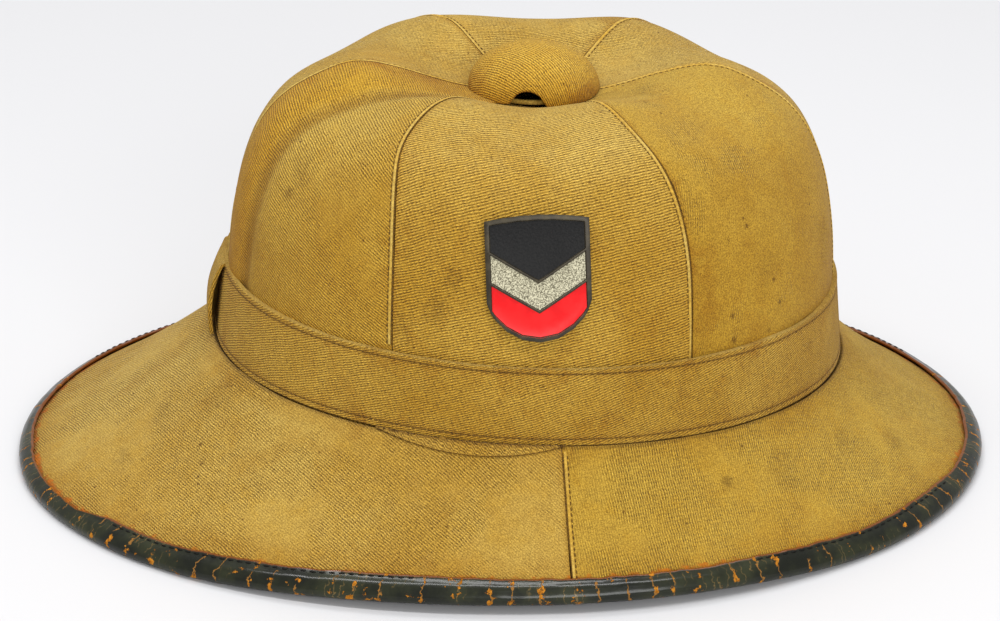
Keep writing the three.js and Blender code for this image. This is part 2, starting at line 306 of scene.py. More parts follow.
def twill(name, slant, felted=0.25, touches=(), rib_step=RIB, tint=(1, 1, 1, 1)):
    """Worn twill whose ribs run at a slant, in degrees, on the piece's own pattern."""
    cloth = Finish(name, {"Roughness": 0.88, "Specular IOR Level": 0.2, "Sheen Weight": 0.04})
    place = cloth.place()
    flat = cloth.node("ShaderNodeUVMap", {"uv_map": "weave"})
    across = cloth.node("ShaderNodeSeparateXYZ", None, {0: flat})
    up = across.out("Y")
    turn = math.radians(slant)
    sway = cloth.grain(place, 60, 2) * (1.5 * MM) + cloth.grain(place, 420, 2) * (0.8 * MM)
    over = up * math.cos(turn) - across * math.sin(turn) + sway
    along = across * math.cos(turn) + up * math.sin(turn)
    rib = (over * (2 * math.pi / rib_step)).sine()
    yarn = (along * (2 * math.pi / (1.4 * MM)) + rib * 1.7).sine()
    rubbed = cloth.ease(cloth.grain(place, 30, 5, 0.6), 0.62 - 0.3 * felted, 0.78 - 0.3 * felted)
    uneven = cloth.ease(cloth.grain(place, 800, 2), 0.32, 0.68, 0.5, 1.2)
    crisp = (1 - rubbed * min(0.95, 0.5 + 0.45 * felted)) * uneven
    fuzz = cloth.grain(place, 2100, 3, 0.75)
    mottle = cloth.grain(place, 170, 5, 0.68)
    broad = cloth.grain(place, 20, 6, 0.62, 0.3)
    colour = cloth.blend(cloth.ease(broad, 0.32, 0.66), SHADED, OCHRE)
    # Upward faces turn paler: dust and sun fading, and painted light from above.
    dusty_and_lit = cloth.mark("dust_and_top_light") * cloth.ease(mottle + broad, 0.8, 1.2, 0.35, 0.9)
    colour = cloth.soil(1.0, cloth.blend(dusty_and_lit, colour, SUNNED), tint)
    stains = cloth.ease(cloth.grain(place, 42, 6, 0.66, 0.8), 0.52, 0.70)
    colour = cloth.soil(stains * 0.42, colour, BROWN_STAIN_AND_SHADE)
    colour = cloth.soil(cloth.ease(mottle, 0.46, 0.66) * 0.34, colour, BROWN_STAIN_AND_SHADE)
    swing = 0.52 - 0.2 * felted
    colour = cloth.soil(0.40 - rib * crisp * swing, colour, RIB_SHADE)
    colour = cloth.soil((0.5 - yarn * crisp * 0.5) * 0.24, colour, RIB_SHADE)
    colour = cloth.soil(cloth.ease(fuzz, 0.38, 0.62) * (0.45 + 0.2 * felted), colour, RIB_SHADE)
    cells = cloth.node("ShaderNodeTexVoronoi", None, {"Vector": place, "Scale": 190})
    chance = cloth.node("ShaderNodeSeparateColor", None, {0: cells.out("Color")})
    speck = cloth.ease(cells, 0.14, 0.05) * cloth.ease(chance, 0.85, 0.87)
    colour = cloth.soil(speck * 0.8, colour, DARK_SPECK_AND_SHADE)
    seam = cloth.mark("seam")
    # Close to the sewing the colour darkens: dirt, and painted shade in the seam's groove. Further out,
    # stains gather along it.
    colour = cloth.soil(cloth.ease(seam, 2.6 * MM, 0.2 * MM) * 0.45, colour, BROWN_STAIN_AND_SHADE)
    colour = cloth.soil(cloth.ease(seam, 12 * MM, 1 * MM) * stains * 0.6, colour, BROWN_STAIN_AND_SHADE)
    for touch in touches:
        colour = touch(cloth, place, colour)
    cloth.feed("Base Color", colour)
    height = (rib + yarn * 0.4) * crisp + fuzz * 1.1
    cloth.feed("Normal", cloth.relief(height, 0.15 * MM))
    return cloth


def smudge(x, y, z, reach, depth, tint=GREY_DIRT):
    """A touch of dirt round one spot; all lengths in millimetres."""

    def add(cloth, place, colour):
        sockets = {0: place, 1: (x * MM, y * MM, z * MM)}
        near = cloth.node("ShaderNodeVectorMath", {"operation": "DISTANCE"}, sockets, out="Value")
        ragged = near + (cloth.grain(place, 2.2 / (reach * MM), 5, 0.68) - 0.5) * (3.2 * reach * MM)
        return cloth.soil(cloth.ease(ragged, reach * MM, 0.2 * reach * MM) * depth, colour, tint)

    return add


# %% [markdown]
# ## Flat patterns and soft edges
#
# Cloth is cut flat, so its weave has to lie flat too. Each copy is unwrapped like an orange peel, with
# the cuts along its sharp edges, and the pattern is then scaled to true metres and turned until its grain
# stands upright at a chosen place. After that the sharp edges are creased, and subdivision rounds
# everything between them. A slow ripple keeps the big surfaces from looking machined.

# %% Pattern helpers
SHARP = math.radians(50)


def lay_cloth(piece, is_outside, upright_at, cut=None):
    """Unwrap a piece to its flat pattern in metres, upright at one point of its outer face."""
    pick(piece, "EDGE", cut or (lambda edge: False))
    bpy.ops.mesh.mark_seam()
    bpy.ops.mesh.select_all(action="DESELECT")
    bpy.ops.mesh.edges_select_sharp(sharpness=SHARP)
    bpy.ops.mesh.mark_seam()
    bpy.ops.mesh.select_all(action="SELECT")
    bpy.ops.uv.unwrap(method="ANGLE_BASED", margin=0.001)
    bpy.ops.object.mode_set(mode="OBJECT")
    mesh = piece.data
    mesh.uv_layers.active.name = "weave"
    uv = np.zeros(len(mesh.loops) * 2)
    mesh.uv_layers["weave"].data.foreach_get("uv", uv)
    uv = uv.reshape(-1, 2)
    outside = [face for face in mesh.polygons if is_outside(face)]
    face = min(outside, key=lambda f: (f.center - Vector(upright_at)).length)
    loops = list(face.loop_indices)
    solid = np.array([mesh.vertices[mesh.loops[i].vertex_index].co for i in loops])
    flat = uv[loops]
    normal = np.array(face.normal)
    up = np.array([0, 0, 1]) - normal * normal[2]
    up /= np.linalg.norm(up)
    right = np.cross(up, normal)
    local = np.stack([(solid - solid.mean(0)) @ right, (solid - solid.mean(0)) @ up], axis=1)
    fit = np.linalg.lstsq(flat - flat.mean(0), local, rcond=None)[0]
    uv = (uv - flat.mean(0)) @ fit
    mesh.uv_layers["weave"].data.foreach_set("uv", uv.ravel())


def group(piece, name, kind, test):
    """Keep a set of points under a name; subdivision carries it along."""
    pick(piece, kind, test)
    bpy.ops.object.vertex_group_assign_new()
    piece.vertex_groups.active.name = name
    bpy.ops.object.mode_set(mode="OBJECT")


def shares(piece, name):
    """How far each point belongs to a named set, 0 to 1."""
    index = piece.vertex_groups[name].index
    return [sum(g.weight for g in v.groups if g.group == index) for v in piece.data.vertices]


def members(piece, name):
    """The points that lie wholly in a named set."""
    return [v.co.copy() for v, share in zip(piece.data.vertices, shares(piece, name)) if share > 0.998]


def soften(piece, levels=3, crease=0.9):
    """Crease the sharp edges, then subdivide and shade smooth."""
    alone(piece)
    bpy.ops.object.mode_set(mode="EDIT")
    bpy.ops.mesh.select_mode(type="EDGE")
    bpy.ops.mesh.select_all(action="DESELECT")
    bpy.ops.mesh.edges_select_sharp(sharpness=SHARP)
    bpy.ops.transform.edge_crease(value=crease)
    bpy.ops.object.mode_set(mode="OBJECT")
    work(piece, "SUBSURF", levels=levels, render_levels=levels)
    bpy.ops.object.shade_smooth_by_angle(angle=math.radians(45))


# %% Shaping helpers
def points_of(piece):
    """All points of a piece, and their normals, as arrays."""
    mesh = piece.data
    points = np.zeros(len(mesh.vertices) * 3)
    normals = np.zeros(len(mesh.vertices) * 3)
    mesh.vertices.foreach_get("co", points)
    mesh.vertex_normals.foreach_get("vector", normals)
    return points.reshape(-1, 3), normals.reshape(-1, 3)


def reshape(piece, points):
    """Put every point of a piece in a new place."""
    piece.data.vertices.foreach_set("co", np.array(points).ravel())
    piece.data.update()
    bpy.context.view_layer.update()


def push(piece, amount):
    """Move every point along its normal, by an amount worked out from its place."""
    points, normals = points_of(piece)
    shift = np.array([amount(Vector(point)) for point in points])
    reshape(piece, points + normals * shift[:, None])


def store(piece, name, values):
    """Keep one number for each point, for the finish to read."""
    piece.data.attributes.new(name, "FLOAT", "POINT").data.foreach_set("value", values)


def nearest(lines):
    """A finder for the closest point of some lines."""
    spots = [spot for line in lines for spot in line]
    tree = kdtree.KDTree(len(spots))
    for i, spot in enumerate(spots):
        tree.insert(spot, i)
    tree.balance()
    return tree


def mark_distance(piece, name, lines, most=20 * MM):
    """Store how far each point lies from the nearest of some lines."""
    tree = nearest(lines)
    store(piece, name, [min(most, tree.find(v.co)[2]) for v in piece.data.vertices])


def mark_dust_and_top_light(piece):
    """Store how much each point faces up, where dust settles, the sun fades and light from above is painted
    on.
    """
    _, normals = points_of(piece)
    store(piece, "dust_and_top_light", np.clip((normals[:, 2] - 0.15) / 0.75, 0, 1))


BADGE_AT = Vector((9.2 * MM, -93 * MM, 100 * MM))


def ripple(point):
    """A slow unevenness of the shell, calm under the badge."""
    calm = min(1.0, max(0.0, ((point - BADGE_AT).length - 22 * MM) / (14 * MM)))
    slow = noise.noise(point / (34 * MM)) * 0.40 + noise.noise(point / (13 * MM)) * 0.12
    return slow * calm * MM


# %% [markdown]
# ## Crown panels
#
# Six panels of cloth are sewn over the stiff dome. Each is a copy of its solid: unwrapped, softened and
# rippled. The crown stands fuller in a few places, so those are swelled on every panel that they touch.
# The near panel has a soft crease that runs down from the cap, and the rear right one a broad fold along
# the rear seam, where the cloth is turned under: a low roll and a shallow valley beside it.

# %% Crown panels
PANEL_MIDDLE = {
    "front_left": 25,
    "left": 88,
    "rear_left": 153,
    "rear_right": 210,
    "right": 268,
    "front_right": 328,
}
PANELS = list(PANEL_MIDDLE)
CREASE_FROM = Vector((-8.6 * MM, -46.4 * MM, 144.5 * MM))
CREASE_TO = Vector((-15.5 * MM, -73 * MM, 134 * MM))


def hill(distance, width):
    """A smooth bump: 1 in the middle, 0 beyond its width."""
    return math.exp(-((distance / width) ** 2))


def faces_out(face):
    return (face.center - CORE).normalized().dot(face.normal) > 0.3


def crease(point):
    """A shallow valley with a lip, fading out at both ends."""
    run = CREASE_TO - CREASE_FROM
    share = (point - CREASE_FROM).dot(run) / run.length_squared
    side = (point.x - (CREASE_FROM + run * share).x) / MM
    fade = math.exp(-(((share - 0.45) / 0.5) ** 4))
    return fade * (0.5 * hill(side - 3.2, 2.6) - 0.8 * hill(side, 2.2)) * MM


# Where, how wide and how much, in millimetres.
FULLER = [
    (Vector((11, 54, 142)), 22, 1.3),
    (Vector((50, 47, 143)), 15, 1.5),
    (Vector((-30, 47, 143)), 20, 1.0),
    (Vector((84, 8, 124)), 30, 1.5),
    (Vector((-58, 20, 138)), 20, 0.8),
]


def fullness(point):
    """Places where the crown stands a little fuller than its solid."""
    return sum(amount * hill((point / MM - spot).length, width) for spot, width, amount in FULLER) * MM


panels = {}
for name in PANELS:
    panel = copy_of(f"crown_panel_{name}", f"crown_cloth_{name}")
    angle = math.radians(PANEL_MIDDLE[name])
    group(panel, "outside", "FACE", faces_out)
    lay_cloth(panel, faces_out, AXIS + Vector((math.cos(angle) * 0.1, math.sin(angle) * 0.09, 0.095)))
    soften(panel)
    push(panel, lambda point: ripple(point) + fullness(point))
    panels[name] = panel
push(panels["right"], crease)
print("panels:", len(panels))

# %% [markdown]
# ## Lapped seams
#
# Where two panels meet, the edge of one is folded and stitched down close to its fold, which leaves a
# narrow raised welt with a dark gap on one side and a row of stitches on the other. The seam line is
# found on the finished panels, as the points where they almost touch. The welt is a round cord of cloth
# half sunk beside it, and the gap's shadow is painted as a thin dark cord at the foot of the fold. One
# stitch is modelled as a small bead, then repeated along the line by Array and laid on it by a Curve
# modifier, as thread follows a needle.


# %% Seam line helpers
def smoothed(line, rounds=3, closed=False):
    """A line with its small wobbles averaged away."""
    for _ in range(rounds):
        before = [line[-1] if closed else line[0]] + line[:-1]
        after = line[1:] + [line[0] if closed else line[-1]]
        line = [(a + b * 2 + c) / 4 for a, b, c in zip(before, line, after)]
    return line


MEET = 0.7 * MM


def seam_line(first, second, order):
    """The points where two pieces meet on the outside, in order."""
    tree = nearest([members(second, "outside")])
    found = []
    for spot in members(first, "outside"):
        twin, _, gap = tree.find(spot)
        if gap < MEET:
            found.append((spot + twin) / 2)
    return smoothed(sorted(found, key=order))


def beside(line, piece, outward, inset, sink=0.0):
    """A seam line moved sideways onto one of its pieces, and sunk a little."""
    points, _ = points_of(piece)
    middle = Vector(points.mean(0))
    moved = []
    for i, spot in enumerate(line):
        along = (line[min(i + 2, len(line) - 1)] - line[max(i - 2, 0)]).normalized()
        inward = middle - spot
        inward = (inward - along * inward.dot(along)).normalized()
        _, _, normal, _ = piece.closest_point_on_mesh(spot + outward(spot) * 3 * MM + inward * 3 * MM)
        side = along.cross(normal).normalized()
        if side.dot(inward) < 0:
            side.negate()
        _, place, normal, _ = piece.closest_point_on_mesh(spot + side * inset + normal * 2 * MM)
        moved.append(place - normal * sink)
    return smoothed(moved)


def away_from_core(spot):
    return (spot - CORE).normalized()


def climb(spot):
    return math.atan2(spot.z - CORE.z, math.hypot(spot.x - AXIS.x, spot.y))


# %% Welt and stitch helpers
def path(name, line, closed=False):
    """A curve through the points of a line."""
    curve = bpy.data.curves.new(name, "CURVE")
    curve.dimensions = "3D"
    spline = curve.splines.new("POLY")
    spline.points.add(len(line) - 1)
    spline.points.foreach_set("co", [x for spot in line for x in (*spot, 1.0)])
    spline.use_cyclic_u = closed
    made = bpy.data.objects.new(name, curve)
    bpy.context.scene.collection.objects.link(made)
    return made


def welt(name, line, radius):
    """A round cord of cloth along a line, closed at both ends."""
    cord = path(name, line)
    cord.data.bevel_depth = radius
    cord.data.bevel_resolution = 2
    cord.data.use_fill_caps = True
    alone(cord)
    bpy.ops.object.convert(target="MESH")
    bpy.ops.object.shade_smooth()
    return bpy.context.object


def stitches(name, line, step, length, width, closed=False):
    """A row of thread beads along a line."""
    guide = path(f"{name}_guide", line, closed)
    bpy.ops.mesh.primitive_uv_sphere_add(segments=6, ring_count=4, radius=0.5)
    row = bpy.context.object
    row.name = row.data.name = name
    bpy.ops.object.mode_set(mode="EDIT")
    bpy.ops.transform.rotate(value=math.pi / 2, orient_axis="Y", center_override=(0, 0, 0))
    bpy.ops.transform.resize(value=(length, width, width))
    bpy.ops.transform.translate(value=(length / 2, 0, 0))
    bpy.ops.object.mode_set(mode="OBJECT")
    work(
        row,
        "ARRAY",
        fit_type="FIT_CURVE",
        curve=guide,
        use_relative_offset=False,
        use_constant_offset=True,
        constant_offset_displace=(step, 0, 0),
    )
    work(row, "CURVE", object=guide, deform_axis="POS_X")
    alone(guide)
    bpy.ops.object.delete()
    alone(row)
    bpy.ops.object.shade_smooth()
    return row


# %% [markdown]
# The thread is dark brown and waxy, and the welts are the same cloth as the panels, only too narrow to
# show ribs, so their finish keeps the colour and a fine fuzz. The thread's finish also colours the thin
# dark cords that are painted shadow lines.

# %% Thread and welt finishes
thread_and_shadow_cords = Finish("thread_and_shadow_cords", {"Roughness": 0.7, "Specular IOR Level": 0.2})
twist = thread_and_shadow_cords.grain(thread_and_shadow_cords.place(), 2600, 2)
brown = thread_and_shadow_cords.blend(thread_and_shadow_cords.ease(twist, 0.35, 0.65), paint(62, 42, 8), paint(112, 80, 24))
thread_and_shadow_cords.feed("Base Color", brown)
thread_and_shadow_cords.feed("Normal", thread_and_shadow_cords.relief(twist, 0.1 * MM))

welt_cloth = Finish("welt_cloth", {"Roughness": 0.88, "Specular IOR Level": 0.2, "Sheen Weight": 0.04})
where = welt_cloth.place()
fade = welt_cloth.grain(where, 60, 5, 0.6)
fuzz = welt_cloth.grain(where, 1300, 3, 0.7)
tone = welt_cloth.blend(welt_cloth.ease(fade, 0.35, 0.66), OCHRE, SUNNED)
tone = welt_cloth.soil(welt_cloth.ease(fuzz, 0.30, 0.66, 0.36, 0.70), tone, RIB_SHADE)
welt_cloth.feed("Base Color", tone)
welt_cloth.feed("Normal", welt_cloth.relief(fuzz, 0.15 * MM))

# %% Crown seams
WELT = 0.62 * MM
WELT_IN, WELT_SUNK = 0.84 * MM, 0.26 * MM
FOLD_SHADOW_IN, FOLD_SHADOW_RADIUS = 0.08 * MM, 0.2 * MM
STITCH_IN, STITCH_STEP, STITCH, THREAD = 1.72 * MM, 1.95 * MM, 1.45 * MM, 0.52 * MM
seams = {}


def sew(name, line, piece, outward):
    """The welt, a thin dark cord at the foot of its fold that paints the gap's shadow, and the stitches
    along one seam.
    """
    cord = welt(f"{name}_welt", beside(line, piece, outward, WELT_IN, WELT_SUNK), WELT)
    settle(cord, "cloth", [welt_cloth])
    # The cord at the fold's foot is a painted shadow of the gap.
    fold = welt(f"{name}_fold", beside(line, piece, outward, FOLD_SHADOW_IN), FOLD_SHADOW_RADIUS)
    settle(fold, "cloth", [thread_and_shadow_cords])
    row = stitches(f"{name}_thread", beside(line, piece, outward, STITCH_IN), STITCH_STEP, STITCH, THREAD)
    settle(row, "cloth", [thread_and_shadow_cords])
    print(name, "seam:", len(line), "points")


for over, under in zip(PANELS, PANELS[1:] + PANELS[:1]):
    seams[over] = seam_line(panels[over], panels[under], climb)
    sew(f"crown_{over}", seams[over], panels[over], away_from_core)

# %% [markdown]
# Each panel's cloth has its own slant. The near panel's ribs run almost level, the rear right ones fall
# steeply, and the front right panel is rubbed and spotted. Along its fold the rear right panel has kept
# its first, deeper colour and crisp ribs, and the valley beside it is darkened as painted shade.

# %% Fold on the rear right panel
FOLD = 25 * MM
rear_fold = nearest([seams["rear_left"]])


def fold_over(point):
    """A low roll along the rear seam and a shallow valley beside it."""
    reach = rear_fold.find(point)[2] / MM
    return (0.9 * hill(reach - 12, 9) - 1.1 * hill(reach - 26, 4.5)) * MM


def fresh_fold_and_valley_shade(cloth, place, colour):
    """The deeper colour that the cloth kept along its fold, and painted shade in the valley beside it."""
    fold = cloth.mark("fold")
    strip = cloth.ease(fold + (cloth.grain(place, 90, 4) - 0.5) * (6 * MM), FOLD + 1 * MM, FOLD - 7 * MM)
    colour = cloth.soil(strip * 0.9, colour, (0.94, 0.80, 0.30, 1))
    # Darker along the valley beside the roll: painted shade.
    return cloth.soil(cloth.ease(abs(fold - FOLD), 5 * MM, 0.5 * MM) * 0.8, colour, (0.64, 0.54, 0.34, 1))


push(panels["rear_right"], fold_over)
mark_distance(panels["rear_right"], "fold", [seams["rear_left"]], most=60 * MM)

# %% Panel cloth
DRIP = (0.34, 0.27, 0.20, 1)
PLAIN, GOLDEN, BROWNED = (1, 1, 1, 1), (0.95, 0.92, 0.62, 1), (1, 0.98, 0.8, 1)
# Slant of the ribs in degrees, how felted they are, and a tint.
CUT = {
    "front_left": (40, 0.6, PLAIN),
    "left": (12, 0.4, PLAIN),
    "rear_left": (-44, 0.3, PLAIN),
    "rear_right": (-24, 0.35, BROWNED),
    "right": (13.5, 0.05, PLAIN),
    "front_right": (72, 0.9, GOLDEN),
}
TOUCHES = {
    "right": [
        smudge(-19, -85.1, 99.9, 5, 0.3, DRIP),
        smudge(-24, -85.5, 89.6, 6, 0.32, DRIP),
        smudge(-36.3, -82.8, 81.2, 6, 0.22, DRIP),
        smudge(2, -90, 78, 2, 0.7, DRIP),
    ],
    "rear_right": [
        fresh_fold_and_valley_shade,
        smudge(-68.4, -44.5, 123.2, 7, 0.4),
        smudge(-73.3, -44.6, 115, 3, 0.6, DRIP),
    ],
    "front_right": [
        smudge(79.9, -62.5, 108.2, 1.3, 0.85, DRIP),
        smudge(90.1, -59.3, 87.3, 1.1, 0.85, DRIP),
        smudge(92.5, -59, 78.6, 1.3, 0.8, DRIP),
        smudge(75, -73.1, 80.1, 1.3, 0.75, DRIP),
        smudge(75.6, -73.5, 71.4, 1.6, 0.75, DRIP),
        smudge(88.5, -63.5, 70.3, 1.2, 0.65, DRIP),
        smudge(73.3, -68.8, 105.9, 0.9, 0.75, DRIP),
        smudge(88, -60, 92, 7, 0.25),
        smudge(66, -77, 84, 9, 0.5, BROWN_STAIN_AND_SHADE),
    ],
}
for name, panel in panels.items():
    mark_distance(panel, "seam", seams.values())
    mark_dust_and_top_light(panel)
    slant, felted, tint = CUT[name]
    cloth = twill(f"twill_{name}", slant, felted, TOUCHES.get(name, ()), RIB, tint)
    settle(panel, "cloth", [cloth], f"crown_panel_{name}")

# %% [markdown]
# ## Brim
#
# The brim is two sloping halves, joined at the sides by the same lapped seam, here with the front half on
# top. Its cloth is finished later, when the leather and the band are there to stain it.


# %% Brim halves
def faces_up(face):
    return face.normal.z > 0.3


def straight_up(spot):
    return Vector((0, 0, 1))


def outwards(spot):
    return math.hypot(spot.x - AXIS.x, spot.y)


BRIM_UPRIGHT = {"front": (30 * MM, -108 * MM, 26 * MM), "rear": (-5 * MM, -108 * MM, 26 * MM)}
BRIM_STEP, BRIM_MEET = 1.2 * MM, 1.6 * MM
brims = {}
for name, spot in BRIM_UPRIGHT.items():
    half = copy_of(f"brim_{name}", f"brim_cloth_{name}")
    group(half, "outside", "FACE", faces_up)
    lay_cloth(half, faces_up, spot)
    soften(half)
    push(half, ripple)
    brims[name] = half
front_points = members(brims["front"], "outside")
rear_finder = nearest([members(brims["rear"], "outside")])
for side, sign in {"right": -1, "left": 1}.items():
    meet = {}
    for spot in front_points:
        twin, _, gap = rear_finder.find(spot)
        step = round(outwards(spot) / BRIM_STEP)
        if spot.y * sign > 0 and gap < min(BRIM_MEET, meet.get(step, (1, spot))[0]):
            meet[step] = (gap, (spot + twin) / 2)
    seams[f"brim_{side}"] = smoothed([meet[step][1] for step in sorted(meet)])
    sew(f"brim_{side}", seams[f"brim_{side}"], brims["front"], straight_up)

# %% [markdown]
# ## Leather edge
#
# A strip of dark green-grey leather is folded over the brim's edge and stitched through. It is old: its
# inner edge is frayed, the gloss is broken by fine cracks across the strip, and chips show the tan hide
# under the dye. The strip is cut into many short lengths first, so that the fraying has points to move.
# Cracks follow the length along the strip, which is stored on the piece for the finish to read.


# %% Leather edge
FAR_SIDE = math.radians(93)


def around(point):
    """Where a point lies round the brim, as an angle that starts on the far side."""
    turn = math.atan2(point.y / 0.129, (point.x - AXIS.x) / 0.17)
    return turn if turn < FAR_SIDE else turn - 2 * math.pi


def turn_apart(first, second):
    """The angle between two points round the brim."""
    return abs((around(first) - around(second) + math.pi) % (2 * math.pi) - math.pi)


# How far the inner edge is torn back, and how far the roll stands out, in millimetres by degrees round.
TORN = {
    -270: 1.5,
    -200: 3,
    -180: 3.6,
    -152: 3.4,
    -147: 0,
    -130: -0.5,
    -102: 0.3,
    -90: 1.2,
    -72: 1.6,
    -66: 0.4,
    -30: 0.3,
    -24: 1.8,
    20: 2.6,
    90: 1.5,
}
SWELL = {-270: 0.4, -195: 1.4, -165: 1.5, -150: 0.6, -90: 0.2, -60: 0.6, -45: 1.6, 0: 1.8, 35: 2.1, 90: 0.4}


def look_up(table, turn):
    """A value from a table of degrees round the brim."""
    return float(np.interp(math.degrees(turn), list(table), list(table.values())))


def frayed(point):
    """How far the inner edge has worn back at this place round the brim."""
    turn = around(point)
    circle = Vector((math.cos(turn), math.sin(turn), 0))
    slow, quick = noise.noise(circle * 6), noise.fractal(circle * 42, 0.7, 2.0, 3)
    return (look_up(TORN, turn) + 0.5 * slow + 0.45 * quick) * MM


edge = copy_of("brim_binding", "leather_edge")
corners = edge.data.vertices
strips = []
for e in edge.data.edges:
    a, b = (corners[i].co for i in e.vertices)
    if turn_apart(a, b) < 0.03 and (a - b).length > 5 * MM:
        strips.append(min(e.vertices, key=lambda i: outwards(corners[i].co)))
group(edge, "border", "VERT", lambda v: v.index in strips)
by_turn = sorted(strips, key=lambda i: around(corners[i].co))
tops = {max(by_turn[i : i + 4], key=lambda j: corners[j].co.z) for i in range(0, len(by_turn), 4)}
group(edge, "lip", "VERT", lambda v: v.index in tops)
print("border points:", len(strips), "lip points:", len(tops))

# %% Fraying
soften(edge, levels=1, crease=0.3)
corners = edge.data.vertices
pick(edge, "EDGE", lambda e: turn_apart(*(corners[i].co for i in e.vertices)) > 0.02)
bpy.ops.mesh.subdivide(number_cuts=3, smoothness=0)
bpy.ops.object.mode_set(mode="OBJECT")
border = shares(edge, "border")
worn_places = [v.co.copy() for v in edge.data.vertices]
for e in edge.data.edges:
    near, far = sorted(e.vertices, key=lambda i: border[i])
    if border[far] - border[near] > 0.2:
        start, end = (edge.data.vertices[i].co for i in (far, near))
        worn_places[far] = start + (end - start).normalized() * frayed(start) * border[far]
moved = {i for i, spot in enumerate(worn_places) if spot != edge.data.vertices[i].co}
follow = {}
for e in edge.data.edges:
    for here, there in (e.vertices, reversed(e.vertices)):
        if border[here] > 0.9 and here not in moved and there in moved:
            follow.setdefault(here, []).append(worn_places[there] - edge.data.vertices[there].co)
for here, shifts in follow.items():
    worn_places[here] += sum(shifts, Vector()) / len(shifts)
reshape(edge, worn_places)
soften(edge, levels=1, crease=0.2)

# %% [markdown]
# The stitches pull the strip down into a groove, and the leather between them and the edge stands up as
# a round roll. Both follow from how near a point is to the border, and the points are evened out before
# and after, so that the gloss runs smoothly. At the ends of the helmet the roll stands out a little
# further. Nothing may sink below the floor that the edge rests on.

# %% Roll and groove
ROLL, GROOVE_AT, SETTLES = 0.7 * MM, 0.56, 0.3 * MM
GROOVE_DEEP, GROOVE_WIDE = 0.15 * MM, 0.12
TORN_FLAT = 4.5
EVEN = {"factor": 0.5, "iterations": 7, "vertex_group": "border", "invert_vertex_group": True}


def outward_at(point):
    """The level direction away from the brim's middle."""
    return Vector((point.x - AXIS.x, point.y * 1.7, 0)).normalized()


def rolled(point, share):
    """The height of the roll or groove where the border's share is known."""
    whole = min(1.0, max(0.0, 1 - look_up(TORN, around(point)) / TORN_FLAT))
    roll = ROLL * math.sin(math.pi * min(1.0, share / GROOVE_AT)) ** 2
    rise = roll - GROOVE_DEEP * hill(share - GROOVE_AT, GROOVE_WIDE)
    dents = 0.1 * MM * noise.noise(point / (6 * MM)) + 0.05 * MM * noise.noise(point / (2 * MM))
    return whole * rise + dents


work(edge, "SMOOTH", **EVEN)
border = shares(edge, "border")
points, normals = points_of(edge)
shaped = []
for spot, normal, share in zip(map(Vector, points), map(Vector, normals), border):
    swell = outward_at(spot) * look_up(SWELL, around(spot)) * (1 - 0.6 * share) * MM
    place = spot + swell + normal * rolled(spot, share)
    place.z = max(place.z - SETTLES * (1 - share), 0.0)
    shaped.append(place)
reshape(edge, shaped)
work(edge, "SMOOTH", **EVEN)
_, leather_normals = points_of(edge)
outward = [outward_at(v.co) for v in edge.data.vertices]
store(edge, "run", [around(v.co) * 0.152 for v in edge.data.vertices])
store(edge, "bulge", [max(0.0, Vector(n).dot(o)) for n, o in zip(leather_normals, outward)])
store(edge, "fray", shares(edge, "border"))
print("leather points:", len(edge.data.vertices))

# %% [markdown]
# The dye is a dark olive, almost black, and still glossy. Cracks run across the strip where it was
# bent: they are the borders of cells along its length, and a noise leaves only some of them open. Chips
# are rare patches of a second noise. They come more easily beside a crack and on the bulge that rubs
# against things. Finer hair cracks lie between.

# %% Leather finish
leather = Finish("cracked_leather", {"Specular IOR Level": 0.1, "Coat Roughness": 0.15})
where = leather.place()
pores = leather.grain(where, 900, 4, 0.6)
clouds = leather.grain(where, 70, 4, 0.6)
wrinkles = leather.grain(where, 330, 3, 0.6)
length = leather.mark("run") + (wrinkles - 0.5) * (4.5 * MM)
cells = {"voronoi_dimensions": "1D", "feature": "DISTANCE_TO_EDGE"}
off_crack = leather.node("ShaderNodeTexVoronoi", cells, {"W": length, "Scale": 115})
off_hair = leather.node("ShaderNodeTexVoronoi", cells, {"W": length, "Scale": 360})
opened = leather.ease(leather.grain(where, 110, 4), 0.46, 0.50)
crack = leather.ease(off_crack, 0.036, 0.012) * opened
hair = leather.ease(off_hair, 0.07, 0.02) * leather.ease(clouds, 0.5, 0.62)
beside_crack = leather.ease(off_crack, 0.2, 0.0)
flakes = leather.grain(where, 210, 5, 0.66) + leather.mark("bulge") * 0.06 + beside_crack * 0.11
chip = leather.ease(flakes, 0.69, 0.71)
frayed_lip = leather.ease(leather.mark("fray") + (pores - 0.5) * 0.2, 0.88, 1.0)
hide = leather.blend(leather.ease(pores, 0.3, 0.7), paint(134, 78, 14), paint(196, 130, 40))
tone = leather.blend(leather.ease(clouds, 0.35, 0.7), paint(15, 18, 8), paint(42, 45, 24))
tone = leather.blend(hair * 0.4, tone, paint(150, 120, 66))
tone = leather.blend(crack * 0.65, tone, paint(170, 118, 54))
tone = leather.blend(frayed_lip * 0.8, tone, paint(126, 68, 16))
tone = leather.blend(chip, tone, hide)
leather.feed("Base Color", tone)
dull = leather.ease(clouds + pores * 0.3, 0.4, 0.9, 0.26, 0.46)
leather.feed("Roughness", dull.most(chip * 0.8).most(crack * 0.6))
leather.feed("Coat Weight", 0.42 - chip.most(crack) * 0.42)
leather.feed("Normal", leather.relief(pores * 0.4 + wrinkles * 0.6 - chip - crack - hair * 0.5, 0.16 * MM))
settle(edge, "leather_edge", [leather], "brim_binding")

# %% [markdown]
# The seam that holds the leather is a row of stitches in that groove. Its thread is dyed like the leather,
# and it is gone where the strip's inner edge is torn away, so the row is sewn in four runs.

